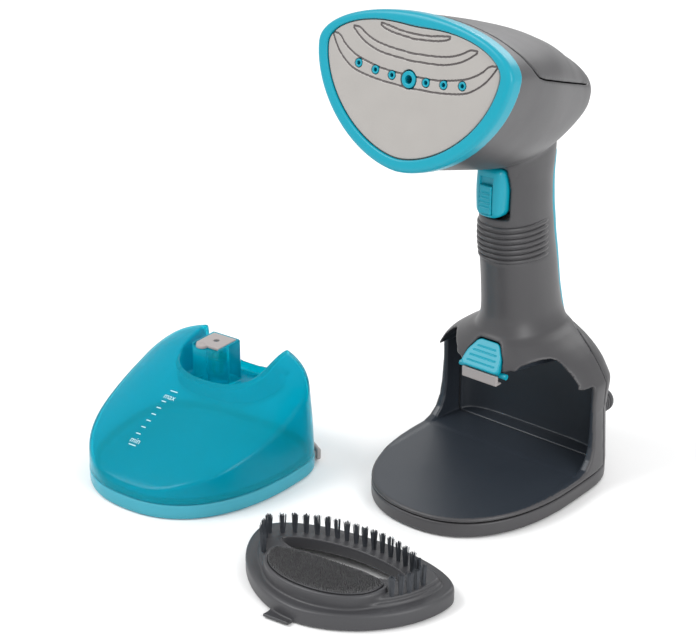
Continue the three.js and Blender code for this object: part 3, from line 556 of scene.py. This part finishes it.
def tray_shape(x, y, z):
    body = both(face_outline(x, z, 8), np.abs(y - 5.55) - 0.85)
    for px, pv in NOZZLES:
        wide = 2 if px == 0 else 1
        r = away(x, z, (px, pv))
        body = join(body, bar(r, y, 2.05 * wide, 0.8, 5, 0.4))
        body = cut(body, np.maximum(r - 1.05 * wide, -y - 10), 0.3)
    return body


SPAN = ((-60, -0.6, -39), (60, 10, 41))
carve("face_ring", *SPAN, 0.5, ring_shape, "steamer", TEAL, "teal", "bezel_ring", matrix=FACE_MATRIX)
# The faces inside the engraved grooves get the dark groove colour: painted shade.
carve("face_plate_piece", (-60, 0.2, -39), (60, 5, 41), 0.4, plate_shape, "steamer", PLATE, "plate",
      "face_plate", matrix=FACE_MATRIX,
      second=(GROOVE_PAINTED_SHADE, lambda x, y, z: (y > 1.05) & (y < 1.7) & (engraving(x, y, z) < 0.55)))
carve("nozzle_piece", (-52, 0.2, -32), (52, 7, 34), 0.35, tray_shape, "steamer", TEAL, "teal",
      "nozzle_tray", matrix=FACE_MATRIX)


# ------------------------------------------------------------------ trigger, latch and gland
def trigger_shape(x, y, z):
    heights = [158.2, 159.6, 163, 174, 183.5, 186.4]
    half = pchip(z, heights, [4.6, 6.6, 8.2, 8.7, 8.4, 7.6])
    reach = pchip(z, heights, [5.2, 6.8, 7.7, 7.8, 7.3, 6.4])
    body = both(egg(x, y - 9.2, half, 6.8, reach, 3.4, 3.0), np.abs(z - 172.3) - 14.1, 2.4)
    slot = block(x, y, z, -4, 4, -2, 3.4, 161, 181.4, 0.4)
    pin = away(y, z, TRIGGER_PIN) - 1.9
    return cut(cut(body, slot, 0.5), pin)


def lock_shape(x, y, z):
    body = block(x, y, z, -3.7, 3.7, 1.0, 3.1, 161.3, 177, 0.5)
    for i in range(4):
        body = cut(body, both(np.abs(z - 165 - 2.6 * i) - 0.45, y - 1.4), 0.3)
    return body


def button_shape(x, y, z):
    reach, off = latch_axes(y, z)
    half = pchip(reach, [0, 1, 8, 13.6, 17], [12.0, 12.4, 11.4, 8.6, 6.8])
    body = both(both(np.abs(x) - half, np.abs(reach - 8.4) - 8.4, 2.6), np.abs(off + 0.1) - 1.9, 0.9)
    for i, place_at in enumerate((3.2, 6.4, 9.6, 12.4)):
        line = both(np.abs(reach - place_at) - 0.28, both(1.45 - off, np.abs(x) - half + 3.2))
        body = cut(body, line, 0.2)
    pin = away(y, z, LATCH_PIN) - 1.95
    return cut(body, pin)


def hook_shape(x, y, z):
    outline = polygon(y, z, [[1.3, 63.6], [6.4, 63.6], [6.4, 64.6], [3.3, 65.8], [3.3, 69.3], [1.3, 69.7]])
    body = both(outline, np.abs(x) - 11.8, 1.0)
    pin = away(y, z, LATCH_PIN) - 1.95
    return cut(body, pin)


def gland_shape(x, y, z):
    r = away(x, z, GLAND)
    body = both(both(r - 7, r + 0.9 * (y - 65.6) - 19.3, 1.5), both(65.6 - y, y - 80.1, 1.2), 1)
    for i in range(3):
        body = cut(body, both(np.abs(y - 70.5 - 2.6 * i) - 0.5, 6.2 - r), 0.4)
    return cut(body, r - 3.2, 0.6)


carve("trigger_piece", (-10, -1, 157), (10, 18, 188), 0.3, trigger_shape, "trigger", TEAL, "teal",
      "steam_trigger")
carve("lock_piece", (-5, 0, 160), (5, 4.5, 178.5), 0.25, lock_shape, "lock", TEAL, "teal", "trigger_lock")
carve("button_piece", (-13.6, -3, 67), (13.6, 15, 88), 0.3, button_shape, "latch", TEAL, "teal",
      "latch_button")
carve("hook_piece", (-13, 0, 62), (13, 8, 71), 0.3, hook_shape, "latch", GREY, "grey_plastic", "latch_hook")
carve("gland_piece", (25, 64.6, 26), (41, 81, 42), 0.35, gland_shape, "steamer", DARK,
      "dark_plastic", "cord_gland")

# ------------------------------------------------------------------ water tank
TANK_MATRIX = Matrix.Translation(Vector((-134, -81.5, 0)) * MM) @ Matrix.Rotation(math.radians(4.2), 4, "Z")
PLUG = (48.2, 42)
PLUG_TURN = math.radians(-32)
PORT = (-8.5, 27)
PORT_PIVOT = (-3.6, -8.4)      # the cover's screw, from the port's middle
RIDGE_Y = [-72, -66.5, -63, -55, -36, -12, 10, 30, 40, 56]
RIDGE_Z = [4, 10.5, 16, 21.2, 31, 43, 54.5, 63.4, 65.6, 66]


def tank_outline(x, y, inset):
    return egg(x, y - 17, 60.2 - inset, 33.5 - inset, 82.5 - inset, 2.7, 2.33)


def tank_outer(x, y, z, h):
    inset = 0.4 + pchip(z, [9.3, 30, 70], [0, 0.8, 3.8])
    walls = tank_outline(x, y, inset)
    ridge = pchip(y, RIDGE_Y, RIDGE_Z)
    roof = egg(x, z, 75 + 0 * ridge, ridge, 20, 2.7, 2)
    body = both(walls, unit(roof, h), 2.5)
    low = both(egg(x, y - 28, 29, 19.5, 22.5, 4, 2.6), 40 - z, 2)
    high = both(egg(x, y - 28, 29, 60, 22.5, 4, 2.6), 49 - z, 1)
    body = cut(body, join(low, high), 1.6)
    return both(body, 9.3 - z)


def tank_shape(x, y, z):
    h = float(x[1, 0, 0] - x[0, 0, 0])
    outer = tank_outer(x, y, z, h)
    shell = both(outer, -join(outer + 1.8, both(tank_outline(x, y, 2.2), z - 12)))
    px, py = x - PORT[0], y - PORT[1]
    port = block(px, py, z, -10.2, 10.2, -10.2, 9.6, 39, 65.2, 1.2)
    shell = join(shell, port, 1)
    r = away(px, py, (0, 0))
    shell = cut(shell, both(r - 5.2, 41 - z))
    shell = cut(shell, both(r - 5.2, np.abs(z - 52) - 20))
    return cut(shell, block(px, py, z, -8.6, 8.6, -10.6, 8.2, 63.4, 70, 0.6), 0.3)


def plug_axes(x, y):
    """Across the filler plug, and out of the tank along it."""
    dx, dy = x - PLUG[0], y - PLUG[1]
    c, s = math.cos(PLUG_TURN), math.sin(PLUG_TURN)
    return dx * c + dy * s, -dx * s + dy * c


def tray_outer(x, y, z):
    return both(both(tank_outline(x, y, 0.3), 0.2 - z, 2.2), z - 9)


def tank_tray_shape(x, y, z):
    outer = tray_outer(x, y, z)
    shell = cut(outer, both(tank_outline(x, y, 2.2), 2.2 - z, 1.5))
    u, w = plug_axes(x, y)
    return cut(shell, block(u, w, z, -4.4, 4.4, -5, 3, 2.1, 7.1, 0.5), 0.3)


def plug_shape(x, y, z):
    u, w = plug_axes(x, y)
    stem = block(u, w, z, -4, 4, -3.4, 1, 2.5, 6.7, 0.5)
    return join(stem, block(u, w, z, -5.6, 5.6, 0.7, 3.6, 1.1, 8.1, 1.3))


def cover_shape(x, y, z):
    px, py = x - PORT[0], y - PORT[1]
    body = block(px, py, z, -8.3, 8.3, -8.3, 7.9, 63.5, 65.3, 0.5)
    body = join(body, bar(away(px, py, PORT_PIVOT), z, 3.6, 63.5, 65.3))
    body = cut(body, bar(away(px, py, PORT_PIVOT), z, 1.8, 64.9, 68), 0.2)
    return cut(body, away(px, py, (0, 0)) - 1.8, 0.3)


carve("tank_body", (-63, -68, 8), (63, 53, 68), 0.6, tank_shape, "tank", TANK, "tank_plastic", "tank_shell",
      matrix=TANK_MATRIX)
carve("tank_floor", (-63, -68, -1), (63, 53, 10.2), 0.6, tank_tray_shape, "tank", TRAY, "tank_plastic",
      "tank_tray", matrix=TANK_MATRIX)
carve("plug_piece", (41, 36, 0), (56, 49, 9), 0.3, plug_shape, "plug", GREY, "grey_plastic",
      "tank_filler_plug", matrix=TANK_MATRIX)
carve("cover_piece", (-20, 13, 62), (3, 37, 67), 0.25, cover_shape, "tank", GREY, "grey_plastic",
      "tank_port_cover", matrix=TANK_MATRIX)


def roof_height(across, top):
    return top * (1 - abs(across / 75) ** 2.7) ** (1 / 2.7)


def on_tank(x, y, lift):
    """Point on the tank's roof at x, y, raised along the slope's normal."""
    ridge = pchip(np.array([y, y + 0.5]), RIDGE_Y, RIDGE_Z)
    here = roof_height(x, ridge[0])
    slope_x = (roof_height(x + 0.5, ridge[0]) - here) / 0.5
    slope_y = (roof_height(x, ridge[1]) - here) / 0.5
    normal = np.array([-slope_x, -slope_y, 1.0])
    normal /= np.linalg.norm(normal)
    return np.array([x, y, here]) + normal * lift


def print_on_tank(name, flat, faces, x, y):
    """Lays a flat drawing (u to the right, w up the slope) on the tank's roof."""
    points = [on_tank(x + u, y + w, 0.12) for u, w in flat]
    piece = to_object(name, np.array(points), faces, False)
    return place(piece, "tank", WHITE, "tank_plastic", matrix=TANK_MATRIX)


def scale_marks():
    flat, faces = [], []
    for at_y, half in ((-43.6, 2.6), (-36.5, 1.6), (-32.1, 1.6), (-27.7, 1.6), (-23.3, 1.6), (-18.9, 1.6),
                       (-14.5, 1.6), (-7.4, 2.6)):
        start = len(flat)
        at_x = -13.2 if half < 2 else -11.6
        flat += [(at_x - half, at_y - 0.28), (at_x + half, at_y - 0.28),
                 (at_x + half, at_y + 0.28), (at_x - half, at_y + 0.28)]
        faces.append([start, start + 1, start + 2, start + 3])
    print_on_tank("scale_marks", flat, np.array(faces), 0, 0)


def word(name, text, x, y):
    curve = bpy.data.curves.new(name, "FONT")
    curve.body = text
    curve.size = 4.8
    curve.align_x = "CENTER"
    holder = bpy.data.objects.new(name, curve)
    bpy.context.scene.collection.objects.link(holder)
    bpy.context.view_layer.update()
    mesh = bpy.data.meshes.new_from_object(holder)
    mesh.calc_loop_triangles()
    flat = [(v.co.x, v.co.y) for v in mesh.vertices]
    faces = np.array([tri.vertices[:] for tri in mesh.loop_triangles])
    bpy.data.objects.remove(holder)
    print_on_tank(name, flat, faces, x, y)


scale_marks()
word("mark_low", "min", -11.6, -42.2)
word("mark_high", "max", -11.6, -12.6)

# ------------------------------------------------------------------ brush attachment
BRUSH_MATRIX = Matrix.Translation(Vector((7.6, -115, 0)) * MM) @ Matrix.Rotation(math.radians(7.8), 4, "Z")


def brush_outline(x, y, inset):
    return egg(x, y, 58.5 - inset, 22.6 - inset, 54.3 - inset, 1.95, 1.78)


def pad_outline(x, y, grow):
    return egg(x, y + 24, 32.5 + grow, 5.2 + grow, 21 + grow, 2.3, 2.1)


def brush_shape(x, y, z):
    skirt = both(brush_outline(x, y, 0.3), both(0.2 - z, z - 9.5, 0), 2.4)
    deck = both(both(brush_outline(x, y, 8.8), 5 - z), z - 13.5, 1.4)
    step = both(both(brush_outline(x, y, 7.2), 5 - z), z - 11, 1)
    pedestal = both(both(pad_outline(x, y, 2.2), 5 - z), z - 17, 1.6)
    body = join(join(join(skirt, step, 0.8), deck, 0.8), pedestal, 1.2)
    slot = egg(x, y + 9, 37, 10.2, 9.0, 1.7, 1.7)
    rim = both(slot - 1.6, z - 14.1, 1)
    body = join(body, both(rim, 5 - z), 0.8)
    body = cut(body, slot, 0.9)
    body = cut(body, both(brush_outline(x, y, 3), z - 7.1, 1.5), 0.3)
    ledge = both(both(pad_outline(x, y, 0.2), 16.4 - z), -y - 45)
    body = cut(body, ledge, 0.2)
    curl = 0.9 + 0.9 * ((y + 52) / 6) ** 2 * (y < -52)
    tab = both(block(x, y, z, -16, -1.3, -57.9, -44, 0, 60, 0), z - curl - 1.0, 0.6)
    return join(body, both(tab, curl - 0.7 - z), 0.8)


def soft_lines(starts, ends, radius, tip):
    """Many thin three-sided fibres in one mesh."""
    starts, ends = np.asarray(starts, float), np.asarray(ends, float)
    way = ends - starts
    way /= np.linalg.norm(way, axis=1)[:, None]
    side = np.cross(way, [0.31, 0.17, 0.05])
    side /= np.linalg.norm(side, axis=1)[:, None]
    other = np.cross(way, side)
    points, faces = [], []
    for k in range(3):
        angle = 2 * math.pi * k / 3
        around = side * math.cos(angle) + other * math.sin(angle)
        points += [starts + around * radius, ends + around * tip]
    count = len(starts)
    points = np.concatenate(points)
    index = np.arange(count)
    foot = [index + 2 * k * count for k in range(3)]
    head = [index + (2 * k + 1) * count for k in range(3)]
    for k in range(3):
        n = (k + 1) % 3
        faces.append(np.stack([foot[k], foot[n], head[n]], 1))
        faces.append(np.stack([foot[k], head[n], head[k]], 1))
    faces += [np.stack(head, 1), np.stack(foot[::-1], 1)]
    return points, np.concatenate(faces)


def tufts(name, places, node):
    """Rows of nylon tufts, each a bundle that spreads a little towards its tip."""
    rng = np.random.default_rng(7)
    starts, ends = [], []
    for px, py in places:
        for _ in range(46):
            angle, r = rng.uniform(0, 2 * math.pi), 1.35 * math.sqrt(rng.uniform(0, 1))
            dx, dy = r * math.cos(angle), r * math.sin(angle)
            spread = rng.uniform(1.1, 1.5)
            wild = rng.normal(0, 0.22, 2)
            top = 24.2 + rng.normal(0, 0.32)
            starts.append([px + dx * 0.8, py + dy * 0.8, 13.3])
            ends.append([px + dx * spread + wild[0], py + dy * spread + wild[1], min(top, 24.3)])
    points, faces = soft_lines(starts, ends, 0.17, 0.12)
    place(to_object(name, points, faces, False), "brush", FIBRE, "bristle", node, matrix=BRUSH_MATRIX)


def backing_shape(x, y, z):
    return both(pad_outline(x, y, 0), np.abs(z - 17.1) - 0.6, 0.4)


def lint_pad():
    """Short pile that leans one way, on a thin backing."""
    rng = np.random.default_rng(11)
    step = 0.62 * DETAIL
    starts, ends = [], []
    for row, y in enumerate(np.arange(-46, -17, step)):
        for x in np.arange(-34, 34, step):
            px = x + (row % 2) * step / 2 + rng.normal(0, 0.1)
            py = y + rng.normal(0, 0.1)
            if pad_outline(np.array(px), np.array(py), -0.4) > 0:
                continue
            starts.append([px, py, 17.0])
            ends.append([px + 0.25 + rng.normal(0, 0.18), py - 0.55 + rng.normal(0, 0.18),
                         18.7 + rng.uniform(-0.3, 0.3)])
    points, faces = soft_lines(starts, ends, 0.26, 0.16)
    pile = to_object("lint_pile_piece", points, faces, False)
    place(pile, "brush", PILE, "lint_fabric", matrix=BRUSH_MATRIX)
    carve("lint_backing", (-35, -48, 15.5), (35, -16, 19), 0.4, backing_shape, "brush", DARK, "lint_fabric",
          "lint_pad", matrix=BRUSH_MATRIX)


carve("brush_piece", (-60, -60, -1), (60, 24, 18.5), 0.5, brush_shape, "brush", DARK, "dark_plastic",
      "brush_body", matrix=BRUSH_MATRIX)
TOP_ROW = [(x, 7.6 - 15.5 * abs(x / 46) ** 2.5) for x in np.linspace(-46, 46, 18)]
tufts("tufts_top", TOP_ROW, "bristle_row_top")
CORNER = [(44.9, -12.9), (43.4, -17.2), (41, -21), (38, -24.6)]
tufts("tufts_right", CORNER, "bristle_row_right")
tufts("tufts_left", [(-x, y) for x, y in CORNER], "bristle_row_left")
lint_pad()

# ------------------------------------------------------------------ stage, light and camera
floor_mesh = bpy.data.meshes.new("floor")
floor_mesh.from_pydata([(-6, -6, 0), (6, -6, 0), (6, 6, 0), (-6, 6, 0)], [], [(0, 1, 2, 3)])
floor = bpy.data.objects.new("floor", floor_mesh)
bpy.context.scene.collection.objects.link(floor)
floor.data.materials.append(material("floor_paint", (0.86, 0.86, 0.86), 0.8, specular=0.1, mottle=0.0))

world = bpy.data.worlds.new("studio")
bpy.context.scene.world = world
world.use_nodes = True
world.node_tree.nodes["Background"].inputs["Color"].default_value = (1, 1, 1, 1)
world.node_tree.nodes["Background"].inputs["Strength"].default_value = 0.85


def softbox(name, spot, target, size, power):
    lamp = bpy.data.lights.new(name, "AREA")
    lamp.shape = "RECTANGLE"
    lamp.size, lamp.size_y = size
    lamp.energy = power
    holder = bpy.data.objects.new(name, lamp)
    holder.location = spot
    holder.rotation_euler = (Vector(target) - Vector(spot)).to_track_quat("-Z", "Y").to_euler()
    bpy.context.scene.collection.objects.link(holder)


softbox("key", (-0.7, -0.9, 1.3), (0, 0, 0.12), (0.8, 0.8), 16)
softbox("side", (1.3, -0.3, 0.7), (0, 0, 0.15), (0.5, 1.0), 11)
softbox("back", (-0.2, 1.1, 0.9), (0, 0, 0.15), (0.9, 0.5), 6)

camera = bpy.data.cameras.new("camera")
camera.sensor_width = 36
camera.lens = 89.2019
viewer = bpy.data.objects.new("camera", camera)
viewer.location = (0.4912, -0.6929, 0.4802)
viewer.rotation_euler = Euler((math.radians(65.853), 0, math.radians(40.106)), "XYZ")
bpy.context.scene.collection.objects.link(viewer)
bpy.context.scene.camera = viewer

bpy.context.scene.view_settings.view_transform = "Standard"
